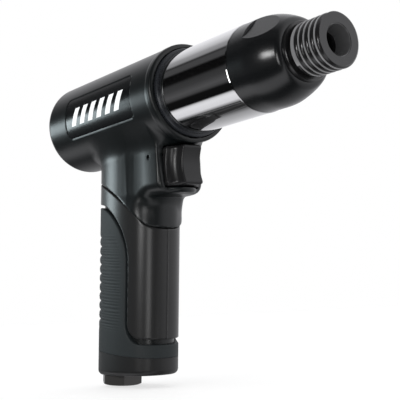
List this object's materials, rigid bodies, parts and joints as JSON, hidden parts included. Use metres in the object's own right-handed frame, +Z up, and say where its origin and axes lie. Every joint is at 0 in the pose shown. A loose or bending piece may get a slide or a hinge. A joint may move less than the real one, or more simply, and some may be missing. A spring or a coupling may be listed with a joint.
{
  "type": "pneumatic air hammer",
  "caption": "Pistol-grip pneumatic air hammer with a coarse-threaded muzzle, domed nose, chromed sleeve, sprung sliding trigger, two-part rubber grip and a hexagon air inlet in the base.",
  "frame": {"origin": "centre of the barrel's front face, at the muzzle", "axes": "+X forward out of the muzzle along the barrel, +Y to the left of the tool, +Z up away from the handle"},
  "size_m": [0.232, 0.0558, 0.1898],
  "materials": {
    "housing_black": "satin",
    "label_gloss": "gloss",
    "ring_black": "satin",
    "chrome": "polished",
    "nose_black": "satin",
    "barrel_oxide": "satin",
    "seal_rubber": "matte",
    "plain_steel": "satin",
    "brass": "satin",
    "trigger_black": "satin",
    "front_rubber": "satin",
    "rear_rubber": "matte",
    "base_black": "satin",
    "gasket": "matte",
    "felt": "matte",
    "inlet_steel": "satin"
  },
  "bodies": {
    "root": {"housing": "housing_black", "label_panel_right": "label_gloss", "label_panel_left": "label_gloss", "front_ring": "ring_black", "chrome_sleeve": "chrome", "nose": "nose_black", "barrel": "barrel_oxide", "retaining_ring": "barrel_oxide", "nose_seal": "seal_rubber", "barrel_seal": "seal_rubber", "valve_seal": "seal_rubber", "throttle_bushing_seal": "seal_rubber", "inlet_seal": "seal_rubber", "rear_cushion": "seal_rubber", "valve_case": "plain_steel", "valve_cap": "plain_steel", "valve_dowels": "plain_steel", "trigger_pin": "plain_steel", "throttle_spring": "plain_steel", "base_screws": "plain_steel", "throttle_bushing": "brass", "front_grip": "front_rubber", "rear_grip": "rear_rubber", "base_cap": "base_black", "base_gasket": "gasket", "exhaust_muffler": "felt", "inlet_bushing": "inlet_steel", "inlet_screen": "brass"},
    "trigger": {"trigger": "trigger_black"},
    "throttle_valve": {"throttle_valve": "plain_steel", "throttle_washer": "seal_rubber"},
    "piston": {"piston": "plain_steel"},
    "valve_disc": {"valve_disc": "plain_steel"}
  },
  "joints": [
    {"name": "trigger_slide", "type": "slide", "parent": "root", "child": "trigger", "axis": [-1, 0, 0], "range_m": [0, 0.007], "stiffness_N_per_m": 900, "springref_m": -0.004},
    {"name": "throttle_slide", "type": "slide", "parent": "root", "child": "throttle_valve", "axis": [-1, 0, 0], "range_m": [0, 0.007], "deforming": ["throttle_spring"]},
    {"name": "piston_slide", "type": "slide", "parent": "root", "child": "piston", "axis": [1, 0, 0], "range_m": [0, 0.068]},
    {"name": "valve_disc_slide", "type": "slide", "parent": "root", "child": "valve_disc", "axis": [-1, 0, 0], "range_m": [0, 0.00075]}
  ],
  "couplings": [
    {"joint": "throttle_slide", "follows": "trigger_slide", "ratio": 1}
  ]
}
